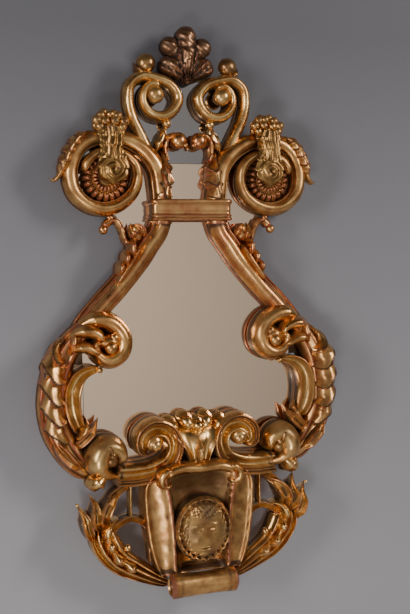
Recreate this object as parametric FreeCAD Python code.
"""Carved giltwood wall mirror: mirror plates on a pine ground, framed by scrolls, leaves and a mask.

X runs across the front, Z up, and the front looks along -Y. The wall is the plane Y = 0, and the
origin is on it, behind the middle of the tie band, where the wall hook carries the mirror.
Depths are given as distances in front of the wall.
"""
import FreeCAD
import Part
import math
import os

V = FreeCAD.Vector

# ---------------------------------------------------------------- driving dimensions, millimetres
BATTEN = 14.0             # thickness of the battens, which touch the wall
GROUND = 12.0             # thickness of the pine ground boards
GLASS = 4.0               # thickness of the mirror plates
BED_CLEARANCE = 0.3       # behind and around each plate in its bed
SEAM = 1.0                # between two plates that butt

PLATE_TOP = 94.0          # top edge of the main plate
PLATE_HALF_WIDTH = 220.0  # the main plate's side edges, where the strips start
PLATE_FOOT = -512.0       # bottom edge of the main plate
STRIP_HALF_REACH = 258.0  # outer edges of the side strips
STRIP_TOP = -300.0
STRIP_FOOT = -470.0
GROUND_MARGIN = 9.0       # how far the ground reaches past the plates

BAND_HALF_WIDTH = 85.0    # tie band
BAND_HALF_HEIGHT = 21.0
BAND_FRONT = 72.0
STEM_X = 58.0             # the stems' centre lines inside the tie band

RING_X = 168.0            # centre of each crozier ring
RING_Z = 70.0
ROSETTE_RADIUS = 49.0
ROSETTE_PETALS = 16
BALL_VOLUTE_X = 174.0     # big ball volutes on the stiles
BALL_VOLUTE_Z = -255.0
BALL_VOLUTE_RADIUS = 48.0
ROLL_Z = -742.0           # roll at the foot
ROLL_RADIUS = 25.0
ROLL_HALF_LENGTH = 66.0
ROLL_DEPTH = 92.0

BATTEN_HEIGHT = 40.0
UPPER_BATTEN_REACH = 138.0
UPPER_BATTEN_GAP = 38.0   # half the gap between the upper battens
LOWER_BATTEN_REACH = 190.0
LOWER_BATTEN_Z = -468.0
SCREW_RADIUS = 2.0
SCREW_HEAD_RADIUS = 4.0
SCREW_HEAD = 2.0
SCREW_GRIP = 6.0          # how far a screw reaches into the ground
SCREW_INSET = 20.0        # from a batten's end to its screw
SCREW_EDGE = 7.0          # from the hanger plate's edges to its screws

HANGER_PLATE_WIDTH = 54.0
HANGER_PLATE_HEIGHT = 40.0
HANGER_PLATE = 2.0
RING_WIRE = 2.5           # radius of the hanging ring's wire
RING_MEAN_RADIUS = 18.0
STAPLE_WIRE = 1.8         # radius of the staple's wire
STAPLE_CLEARANCE = 0.8    # between the ring's wire and the staple
HINGE_DEPTH = 8.0         # the ring's hinge line in front of the wall

GROUND_BACK = BATTEN
GROUND_FRONT = BATTEN + GROUND
GLASS_BACK = GROUND_FRONT - GLASS
CARVING_BACK = GROUND_FRONT

GLUE_LINE = 0.2           # under the carvings
LAID = CARVING_BACK + GLUE_LINE        # back depth of a limb that lies on the ground
STEM_JOINT = -BAND_HALF_HEIGHT - 1.0   # height at which each stile butts against its crozier
STEM_TRIM = 8.0           # left on both stems before they are trimmed square at the joint
SECTION_STEP = 18.0       # spacing of the sections along a limb

# Centre lines of the right-hand limbs: x, z, half width, front depth, back depth.
CROZIER = [
    (STEM_X, STEM_JOINT - STEM_TRIM, 23, 64, LAID), (STEM_X, 40, 22.5, 64, LAID), (66, 80, 21, 64, LAID),
    (89, 113, 20, 63, LAID), (124, 135, 19, 62, LAID), (166, 142, 18, 61, LAID), (206, 132, 17.5, 61, LAID), (231, 104, 17, 60, LAID),
    (239, 68, 17, 60, LAID), (230, 32, 17, 60, LAID), (204, 9, 16, 60, LAID), (170, 3, 15, 59, LAID),
    (137, 14, 14, 60, LAID), (114, 38, 12.5, 62, 30), (107, 64, 11, 64, 38), (113, 89, 10, 66, 46),
    (134, 107, 9.5, 67, 49), (163, 113, 9, 68, 50), (190, 107, 8.5, 68, 51), (207, 92, 8, 67, 51),
    (214, 73, 7, 65, 50)]
STILE = [
    (STEM_X, STEM_JOINT + STEM_TRIM, 23, 64, LAID), (66, -40, 23.5, 64, LAID), (84, -66, 24, 63, LAID),
    (112, -106, 24, 62, LAID),
    (146, -146, 24, 62, LAID), (180, -182, 24, 62, LAID), (212, -218, 24, 62, LAID), (236, -250, 22, 60, LAID)]
LOWER_SCROLL = [
    (196, -218, 15, 76, 40), (224, -232, 20, 78, 32), (252, -266, 26, 76, LAID), (275, -316, 30, 74, LAID),
    (284, -368, 31, 72, LAID), (281, -412, 29, 70, LAID), (266, -452, 26, 68, LAID), (240, -486, 21, 66, LAID)]
HUSK_LEAF = [
    (254, -262, 10, 84, 76.3), (268, -292, 18, 85, 75.5), (276, -312, 13, 84, 74.5), (281, -334, 19, 84, 74.2),
    (284, -356, 13, 82, 73), (284, -378, 19, 82, 72.5), (283, -400, 13, 81, 71.5), (280, -420, 18, 80, 70.5),
    (270, -446, 9, 78, 69.4)]
CREST_SCROLL = [
    (80, 112, 11, 54, LAID), (97, 146, 10, 54, LAID), (115, 178, 10, 56, LAID), (125, 214, 10, 58, LAID),
    (119, 246, 10, 60, LAID), (97, 263, 10.5, 62, LAID), (64, 259, 10.5, 62, LAID), (34, 245, 10, 61, LAID),
    (19, 221, 10.5, 60, LAID), (30, 194, 10, 60, LAID), (57, 183, 9.5, 60, LAID), (82, 192, 8.5, 60, 28),
    (92, 212, 8, 60, 32), (87, 235, 7, 60, 36), (72, 244, 6.5, 60, 40)]
BUD_STALK = [(44, 96, 5, 50, LAID), (47, 122, 5, 50, LAID), (38, 143, 5, 52, 32), (24, 146, 4, 52, 36)]
SIGHT_MOULDING = [
    (192, -321, 11, 52, LAID), (222, -322, 10, 50, LAID), (241, -340, 11, 50, LAID), (249, -370, 12, 50, LAID),
    (248, -402, 12, 50, LAID), (239, -432, 12, 50, LAID)]
BOTTOM_SCROLL = [
    (158, -490, 8, 70, 46), (154, -470, 10, 71, 40), (172, -450, 12, 72, 34), (199, -453, 14, 74, 28),
    (214, -481, 15, 76, LAID), (202, -511, 18, 78, LAID), (166, -521, 21, 80, LAID), (126, -520, 22, 82, LAID),
    (88, -514, 20, 84, LAID), (60, -497, 16, 84, LAID), (49, -467, 14, 84, LAID), (66, -434, 13, 83, LAID),
    (94, -430, 12, 80, 28), (113, -452, 11, 76, 32), (107, -478, 9, 72, 36)]
RING_CURL = [(110, -84, 8, 48, LAID), (131, -60, 7.5, 48, LAID), (140, -36, 7, 48, LAID), (152, -20, 7, 48, LAID),
             (166, -24, 8, 46, 27), (174, -34, 9, 46, 28)]
CORNER_LEAF = [(232, -436, 10, 62, LAID), (214, -428, 9, 62, 30), (203, -411, 8, 64, 38), (206, -397, 5, 64, 46)]
APRON_LIMB = [
    (70, -734, 14, 78, 46), (118, -730, 20, 72, 38), (164, -708, 27, 68, 32), (199, -668, 30, 66, 30),
    (214, -620, 26, 64, 30), (218, -580, 18, 62, 30), (214, -552, 10, 58, 30)]
APRON_RIM = [
    (196, -640, 9, 66, 36), (168, -618, 8, 66, 36), (137, -607, 7, 66, 36), (112, -618, 7, 68, 36),
    (101, -655, 7, 70, 38), (98, -700, 7, 72, 42)]
APRON_FROND = [
    (140, -538, 8, 66, 34), (164, -552, 10, 64, 32), (188, -584, 11, 64, 32), (201, -630, 12, 64, 32)]
APRON_STEM = [(137, -536, 4, 60, 38), (137, -560, 4, 60, 38), (137, -584, 4, 60, 38), (137, -608, 4, 60, 38)]
FLANK_STRAP = [
    (78, -528, 14, 84, 30), (104, -548, 14, 84, 32), (113, -590, 14, 86, 34), (108, -640, 14, 88, 38),
    (96, -690, 13, 88, 42), (80, -722, 12, 84, 46)]
PALMETTE = [
    (0, -506, 22, 60, LAID), (0, -478, 33, 78, LAID), (0, -440, 34, 78, LAID), (0, -404, 27, 72, LAID),
    (0, -384, 10, 56, LAID)]
TEARDROP = [(0, -497, 4, 88, 70), (0, -476, 14, 94, 70), (0, -452, 12, 94, 70), (0, -431, 3, 86, 70)]
MASK = [
    (0, -692, 12, 90, 84.3), (0, -680, 32, 102, 84.3), (0, -658, 50, 112, 84.3), (0, -628, 58, 118, 84.3),
    (0, -600, 52, 116, 84.3), (0, -578, 34, 104, 84.3), (0, -565, 12, 92, 84.3)]
VOLUTE_TOP = -416.5       # just above the inner volutes
DROOPING_LEAF = [      # height, middle depth, half width, half thickness
    (155, 69, 18, 5), (140, 69, 20, 6), (118, 75.5, 20, 6), (100, 77, 23, 6), (80, 78, 27, 6.5),
    (62, 78, 25, 6), (50, 77, 17, 5), (44, 75, 7, 3)]
LEAF_X = RING_X - 6.0


# ---------------------------------------------------------------- shared geometry
def ball(x, z, depth, radius):
    """Ball whose seam lies at the back."""
    shape = Part.makeSphere(radius)
    shape.rotate(V(0, 0, 0), V(0, 0, 1), 90)
    shape.translate(V(x, -depth, z))
    return shape


def lobe(x, z, depth, radius, half_length, turn=0.0):
    """Egg of the given radius, half_length along Z, then turned in the plane of the wall."""
    long_end = V(0, 0, half_length)
    arc = Part.Ellipse(long_end, V(radius, 0, 0), V(0, 0, 0)).toShape(math.pi * 0, math.pi)
    shape = Part.Face(Part.Wire([arc, Part.LineSegment(long_end, -long_end).toShape()]))
    solid = shape.revolve(V(0, 0, 0), V(0, 0, 1), 360)
    solid.rotate(V(0, 0, 0), V(0, 1, 0), turn)
    solid.translate(V(x, -depth, z))
    return solid


def box(x0, x1, front, back, z0, z1):
    """Box between two depths in front of the wall."""
    return Part.makeBox(x1 - x0, front - back, z1 - z0, V(x0, -front, z0))


def oval_wire(centre, half_width, half_thickness):
    """Closed smooth oval in a level plane."""
    points = []
    for step in range(8):
        angle = 2 * math.pi * step / 8
        points.append(centre + V(half_width * math.cos(angle), half_thickness * math.sin(angle), 0))
    curve = Part.BSplineCurve()
    curve.interpolate(Points=points, PeriodicFlag=True)
    return Part.Wire(curve.toShape())


def rounded_wire(place, across, half_width, front, back):
    """Section of a limb: a flat back and a rounded front."""
    points = []
    for step in range(7):
        angle = math.pi * step / 6
        rise = (front - back) * math.sin(angle) ** 0.8 if 0 < step < 6 else 0.0
        points.append(V(place.x, -back - rise, place.z) + across * (half_width * math.cos(angle)))
    curve = Part.BSplineCurve()
    curve.interpolate(points)
    return Part.Wire([curve.toShape(), Part.LineSegment(points[-1], points[0]).toShape()])


def sampled(points):
    """Smooth samples of a centre line, about SECTION_STEP apart."""
    plan = Part.BSplineCurve()
    plan.interpolate([V(p[0], 0, p[1]) for p in points])
    marks = [plan.parameter(V(p[0], 0, p[1])) for p in points]
    count = max(4, int(round(plan.length() / SECTION_STEP)))
    samples = []
    for step in range(count + 1):
        where = plan.FirstParameter + (plan.LastParameter - plan.FirstParameter) * step / count
        span = max(i for i in range(len(marks) - 1) if marks[i] <= where + 1e-9)
        share = min(1.0, max(0.0, (where - marks[span]) / (marks[span + 1] - marks[span])))
        before = points[span]
        after = points[span + 1]
        width, front, back = [before[k] + (after[k] - before[k]) * share for k in (2, 3, 4)]
        tangent = plan.tangent(where)[0]
        samples.append((plan.value(where), V(tangent.z, 0, -tangent.x), width, front, back))
    return samples


def limb(points):
    """Solid limb along a centre line, flat where it lies on the ground."""
    wires = [rounded_wire(*sample) for sample in sampled(points)]
    return Part.makeLoft(wires, True, False)


def on_ground(shape):
    """Cut away what would lie behind the front of the ground."""
    size = shape.BoundBox
    behind = box(size.XMin - 1, size.XMax + 1, CARVING_BACK, -60, size.ZMin - 1, size.ZMax + 1)
    return largest(shape.cut(behind))


def largest(shape):
    return max(shape.Solids, key=lambda solid: solid.Volume)


def joined(shapes):
    return largest(shapes[0].fuse(shapes[1:]))


def fitted(shape, neighbours):
    """Cut a carving to sit face to face against its neighbours."""
    for other in neighbours:
        if shape.BoundBox.intersect(other.BoundBox):
            shape = largest(shape.cut(other))
    return shape


def mirrored(shape):
    return shape.mirror(V(0, 0, 0), V(1, 0, 0))


def prism(outline, front, back):
    """Flat panel of the given outline, symmetric about X = 0; outline is its right half, top first."""
    right = [V(x, -front, z) for x, z in outline]
    left = [V(-x, -front, z) for x, z in reversed(outline) if x > 0]
    wire = Part.makePolygon(right + left + [right[0]])
    return Part.Face(wire).extrude(V(0, front - back, 0))


PLATE_OUTLINE = [
    (0, PLATE_TOP), (PLATE_HALF_WIDTH, PLATE_TOP), (PLATE_HALF_WIDTH, 34), (200, 8), (170, 0), (146, -10),
    (136, -38), (120, -70), (112, -100), (146, -141), (180, -177), (PLATE_HALF_WIDTH, -220),
    (PLATE_HALF_WIDTH, PLATE_FOOT), (0, PLATE_FOOT)]
CREST_OUTLINE = [
    (0, 258), (64, 256), (97, 258), (115, 240), (121, 214), (112, 180), (96, 150), (124, 135), (166, 140),
    (202, 129), (PLATE_HALF_WIDTH, 110), (PLATE_HALF_WIDTH, PLATE_TOP + SEAM), (0, PLATE_TOP + SEAM)]
GROUND_OUTLINE = [
    (0, PLATE_TOP + SEAM / 2), (232, PLATE_TOP + SEAM / 2), (232, 32), (206, 2), (170, -6), (152, -14),
    (143, -40), (128, -76), (121, -103), (154, -146), (188, -182), (232, -228), (258, -262),
    (STRIP_HALF_REACH + GROUND_MARGIN, STRIP_TOP + GROUND_MARGIN),
    (STRIP_HALF_REACH + GROUND_MARGIN, STRIP_FOOT - GROUND_MARGIN), (232, -492),
    (214, PLATE_FOOT - GROUND_MARGIN), (0, PLATE_FOOT - GROUND_MARGIN)]
GROUND_CREST_OUTLINE = [
    (0, 266), (66, 264), (100, 266), (123, 245), (130, 214), (120, 178), (108, 152), (126, 143), (166, 148),
    (208, 136), (232, 110), (232, PLATE_TOP + SEAM / 2), (0, PLATE_TOP + SEAM / 2)]


# ---------------------------------------------------------------- carvings on the right-hand side
def crozier():
    below = box(0, 200, 100, 0, STEM_JOINT - 40, STEM_JOINT)
    return largest(limb(CROZIER).cut(below))


def stile():
    above = box(0, 200, 100, 0, STEM_JOINT, STEM_JOINT + 40)
    return largest(limb(STILE).cut(above))


def crest_scroll():
    return joined([limb(CREST_SCROLL), ball(69, 229, 50, 17)])


def bud():
    return joined([limb(BUD_STALK), ball(21, 137, 46, 18)])


def rosette():
    back = V(RING_X, -CARVING_BACK, RING_Z)
    rim = back + V(ROSETTE_RADIUS - 6, 0, 0)
    edge = rim + V(0, -8, 0)
    top = back + V(0, -30, 0)
    bulge = back + V(0.6 * ROSETTE_RADIUS, -20, 0)
    lines = [Part.LineSegment(back, rim), Part.LineSegment(rim, edge), Part.Arc(edge, bulge, top),
             Part.LineSegment(top, back)]
    profile = Part.Face(Part.Wire([line.toShape() for line in lines]))
    petals = [profile.revolve(back, V(0, 1, 0), 360)]
    reach = ROSETTE_RADIUS - 9
    radius = 0.93 * math.pi * reach / ROSETTE_PETALS
    for step in range(ROSETTE_PETALS):
        angle = 2 * math.pi * (step + 0.5) / ROSETTE_PETALS
        petals.append(ball(RING_X + reach * math.sin(angle), RING_Z + reach * math.cos(angle), 34, radius))
    return joined(petals)


def drooping_leaf():
    wires = [oval_wire(V(LEAF_X, -depth, z), half, thick) for z, depth, half, thick in DROOPING_LEAF]
    return Part.makeLoft(wires, True, False)


def berries():
    cluster = [ball(LEAF_X + shift, 168, 50, 17) for shift in (-14, 14)]
    for z, depth, count, spacing in [(157, 68, 3, 20), (169, 66, 4, 18), (181, 58, 3, 17)]:
        for step in range(count):
            cluster.append(ball(LEAF_X + (step - (count - 1) / 2.0) * spacing, z, depth, 10.5))
    limb_top = 160.3
    limb_front = 62.3
    seat = box(LEAF_X - 60, LEAF_X + 60, limb_front, 0, 100, limb_top)
    return largest(joined(cluster).cut(seat))


def ball_volute():
    shell = on_ground(ball(BALL_VOLUTE_X, BALL_VOLUTE_Z, 40, BALL_VOLUTE_RADIUS))
    eye = ball(BALL_VOLUTE_X - 10, BALL_VOLUTE_Z - 20, 74, 13)
    knuckle = ball(BALL_VOLUTE_X + 20, BALL_VOLUTE_Z + 10, 72, 16)
    return joined([shell, eye, knuckle])


def volute_ball():
    return joined([ball(184, -486, 56, 16), ball(178, -472, 66, 10)])


def apron_leaf():
    blades = [limb(APRON_LIMB), limb(APRON_RIM), limb(APRON_FROND), limb(APRON_STEM)]
    blades.append(lobe(232, -590, 46, 11, 26, 8))
    blades.append(lobe(160, -668, 50, 11, 32, 20))
    return joined(blades)


# ---------------------------------------------------------------- carvings on the axis
def tie_band():
    body = box(-BAND_HALF_WIDTH, BAND_HALF_WIDTH, BAND_FRONT, CARVING_BACK,
               -BAND_HALF_HEIGHT, BAND_HALF_HEIGHT)
    upright = [edge for edge in body.Edges
               if abs(edge.Vertexes[0].Z - edge.Vertexes[1].Z) > 1 and edge.Vertexes[0].Y < -60]
    return body.makeFillet(14, upright)


def finial():
    lobes = [lobe(0, 306, 40, 25, 44), ball(0, 342, 40, 22), ball(0, 262, 42, 14)]
    for side in (-1, 1):
        lobes.append(ball(side * 34, 323, 40, 19.5))
        lobes.append(ball(side * 38, 284, 40, 20))
        lobes.append(ball(side * 18, 272, 40, 17))
    return on_ground(joined(lobes))


def palmette():
    lobes = [limb(PALMETTE), limb(TEARDROP)]
    for side in (-1, 1):
        lobes.append(ball(side * 64, -408, 44, 17))
        lobes.append(ball(side * 43, -412, 44, 18))
        lobes.append(ball(side * 22, -399, 46, 17.5))
    rooms = [box(side * 80 - 45.5, side * 80 + 45.5, 120, 0, -600, VOLUTE_TOP) for side in (-1, 1)]
    return on_ground(joined(lobes).cut(rooms))


def cartouche():
    rows = [(-510, 66, 84), (-530, 84, 92), (-570, 84, 88), (-620, 78, 84), (-670, 68, 84), (-722, 50, 84)]
    hollow = 26.0
    wires = []
    for z, half, front in rows:
        section = [V(-half, -CARVING_BACK, z), V(-half, -front, z), V(-half * 0.7, -front, z),
                   V(0, -front + hollow, z), V(half * 0.7, -front, z), V(half, -front, z),
                   V(half, -CARVING_BACK, z)]
        wires.append(Part.makePolygon(section + [section[0]]))
    shield = Part.makeLoft(wires, True, True)
    lip = Part.makeCylinder(12, 140, V(-70, -80, -520), V(1, 0, 0))
    strap = limb(FLANK_STRAP)
    whole = joined([shield, lip, strap, mirrored(strap)])
    scroll_front = 85.0
    rooms = [box(min(side * 36, side * 136), max(side * 36, side * 136), scroll_front, 0, -544, -480)
             for side in (-1, 1)]
    return largest(whole.cut(rooms))


def mask():
    return limb(MASK)


def roll():
    axis = V(1, 0, 0)
    start = V(-ROLL_HALF_LENGTH, -ROLL_DEPTH, ROLL_Z)
    body = Part.makeCylinder(ROLL_RADIUS, 2 * ROLL_HALF_LENGTH, start, axis)
    for side in (-1, 1):
        mouth = V(side * ROLL_HALF_LENGTH - 7, -ROLL_DEPTH, ROLL_Z)
        body = body.cut(Part.makeCylinder(ROLL_RADIUS - 9, 14, mouth, axis))
    return largest(body)


# ---------------------------------------------------------------- plates, ground and back
def plates():
    main = prism(PLATE_OUTLINE, GROUND_FRONT - BED_CLEARANCE, GLASS_BACK)
    crest = prism(CREST_OUTLINE, GROUND_FRONT - BED_CLEARANCE, GLASS_BACK)
    strip = box(PLATE_HALF_WIDTH + SEAM, STRIP_HALF_REACH, GROUND_FRONT - BED_CLEARANCE, GLASS_BACK,
                STRIP_FOOT, STRIP_TOP)
    return main, crest, strip


def bed(shape):
    """Room for a plate: its own outline widened by the clearance."""
    face = min(shape.Faces, key=lambda f: f.CenterOfMass.y)
    wide = face.makeOffset2D(BED_CLEARANCE)
    return wide.extrude(V(0, GLASS + BED_CLEARANCE, 0)).fuse(wide.extrude(V(0, -GLASS, 0)))


def screw_set(places, head_depth, tip_depth):
    """Countersunk screws driven from the back towards the front."""
    screws = []
    for x, z in places:
        head = Part.makeCone(SCREW_HEAD_RADIUS, SCREW_RADIUS, SCREW_HEAD, V(x, -head_depth, z), V(0, -1, 0))
        length = tip_depth - head_depth - SCREW_HEAD
        shank = Part.makeCylinder(SCREW_RADIUS, length, V(x, -head_depth - SCREW_HEAD, z), V(0, -1, 0))
        screws.append(head.fuse(shank).removeSplitter())
    return screws


def both_sides(places):
    return places + [(-x, z) for x, z in places]


def staple():
    reach = RING_WIRE + STAPLE_CLEARANCE + STAPLE_WIRE
    plate_face = -(GROUND_BACK - HANGER_PLATE)
    root = V(0, plate_face, reach)
    shoulder = V(0, -HINGE_DEPTH, reach)
    crown = V(0, -HINGE_DEPTH + reach, 0)
    foot = V(0, -HINGE_DEPTH, -reach)
    end = V(0, plate_face, -reach)
    path = Part.Wire([Part.LineSegment(root, shoulder).toShape(), Part.Arc(shoulder, crown, foot).toShape(),
                      Part.LineSegment(foot, end).toShape()])
    profile = Part.Wire(Part.Circle(root, V(0, 1, 0), STAPLE_WIRE).toShape())
    return largest(path.makePipeShell([profile], True, False))


def hanging_ring():
    return Part.makeTorus(RING_MEAN_RADIUS, RING_WIRE, V(0, -HINGE_DEPTH, -RING_MEAN_RADIUS), V(0, 1, 0))


def build():
    nodes = {}

    def pair(name, shape, neighbours=()):
        shape = fitted(shape, neighbours)
        nodes[name + "_right"] = shape
        nodes[name + "_left"] = mirrored(shape)
        return shape

    stem = pair("crozier", crozier())
    side = pair("stile", stile())
    band = fitted(tie_band(), [stem, mirrored(stem)])
    nodes["tie_band"] = band
    crest = pair("crest_scroll", crest_scroll(), [stem])
    pair("crest_ball", ball(85, 286, CARVING_BACK + 18.3, 18), [crest])
    nodes["finial"] = fitted(finial(), [crest, mirrored(crest)])
    pair("bud", bud(), [stem])
    pair("rosette", rosette())
    leaf = pair("drooping_leaf", drooping_leaf())
    pair("berries", berries(), [leaf])
    volute = pair("ball_volute", ball_volute(), [side])
    lower = pair("lower_scroll", limb(LOWER_SCROLL), [side, volute])
    pair("husk_leaf", limb(HUSK_LEAF))
    bottom = pair("bottom_scroll", limb(BOTTOM_SCROLL), [lower])
    sight = pair("sight_moulding", limb(SIGHT_MOULDING), [lower, volute])
    pair("volute_ball", volute_ball(), [bottom])
    pair("corner_leaf", limb(CORNER_LEAF), [lower, bottom, sight])
    knob = pair("ring_bud", ball(111, -36, CARVING_BACK + 15.3, 15))
    pair("ring_curl", limb(RING_CURL), [stem, side, knob])
    nodes["palmette"] = palmette()
    nodes["cartouche"] = fitted(cartouche(), [nodes["palmette"]])
    nodes["foot_roll"] = fitted(roll(), [nodes["cartouche"]])
    nodes["mask"] = fitted(mask(), [nodes["cartouche"], nodes["foot_roll"]])
    pair("apron_leaf", apron_leaf(), [nodes["cartouche"], nodes["foot_roll"], bottom])
    return nodes


def back_of(nodes):
    main, crest, strip = plates()
    nodes["mirror_plate"] = main
    nodes["crest_mirror"] = crest
    nodes["mirror_strip_right"] = strip
    nodes["mirror_strip_left"] = mirrored(strip)
    beds = [bed(shape) for shape in (main, crest, strip, mirrored(strip))]
    ground = prism(GROUND_OUTLINE, GROUND_FRONT, GROUND_BACK).cut(beds)
    crest_ground = prism(GROUND_CREST_OUTLINE, GROUND_FRONT, GROUND_BACK).cut(beds)
    half = BATTEN_HEIGHT / 2
    inset = SCREW_INSET
    upper_places = both_sides([(UPPER_BATTEN_GAP + inset, 0), (UPPER_BATTEN_REACH - inset, 0)])
    lower_places = both_sides([(LOWER_BATTEN_REACH - inset, LOWER_BATTEN_Z), (inset * 3, LOWER_BATTEN_Z)])
    plate_x = HANGER_PLATE_WIDTH / 2
    plate_z = HANGER_PLATE_HEIGHT / 2
    corners = both_sides([(plate_x - SCREW_EDGE, plate_z - SCREW_EDGE), (plate_x - SCREW_EDGE, SCREW_EDGE - plate_z)])
    tip = GROUND_BACK + SCREW_GRIP
    batten_screws = screw_set(upper_places + lower_places, 0, tip)
    hanger_screws = screw_set(corners, BATTEN - HANGER_PLATE, tip)
    upper = box(UPPER_BATTEN_GAP, UPPER_BATTEN_REACH, BATTEN, 0, -half, half)
    lower = box(-LOWER_BATTEN_REACH, LOWER_BATTEN_REACH, BATTEN, 0, LOWER_BATTEN_Z - half, LOWER_BATTEN_Z + half)
    plate = box(-plate_x, plate_x, BATTEN, BATTEN - HANGER_PLATE, -plate_z, plate_z)
    nodes["ground_board"] = largest(ground.cut(batten_screws + hanger_screws))
    nodes["crest_ground_board"] = largest(crest_ground)
    nodes["upper_batten_right"] = largest(upper.cut(batten_screws))
    nodes["upper_batten_left"] = largest(mirrored(upper).cut(batten_screws))
    nodes["lower_batten"] = largest(lower.cut(batten_screws))
    nodes["batten_screws"] = Part.makeCompound(batten_screws)
    nodes["hanger_plate"] = largest(plate.cut(hanger_screws))
    nodes["hanger_screws"] = Part.makeCompound(hanger_screws)
    nodes["hanger_staple"] = staple()
    nodes["hanging_ring"] = hanging_ring()


def write(nodes):
    os.makedirs("parts", exist_ok=True)
    for name, shape in nodes.items():
        shape.exportStep("parts/" + name + ".step")


model = build()
back_of(model)
write(model)
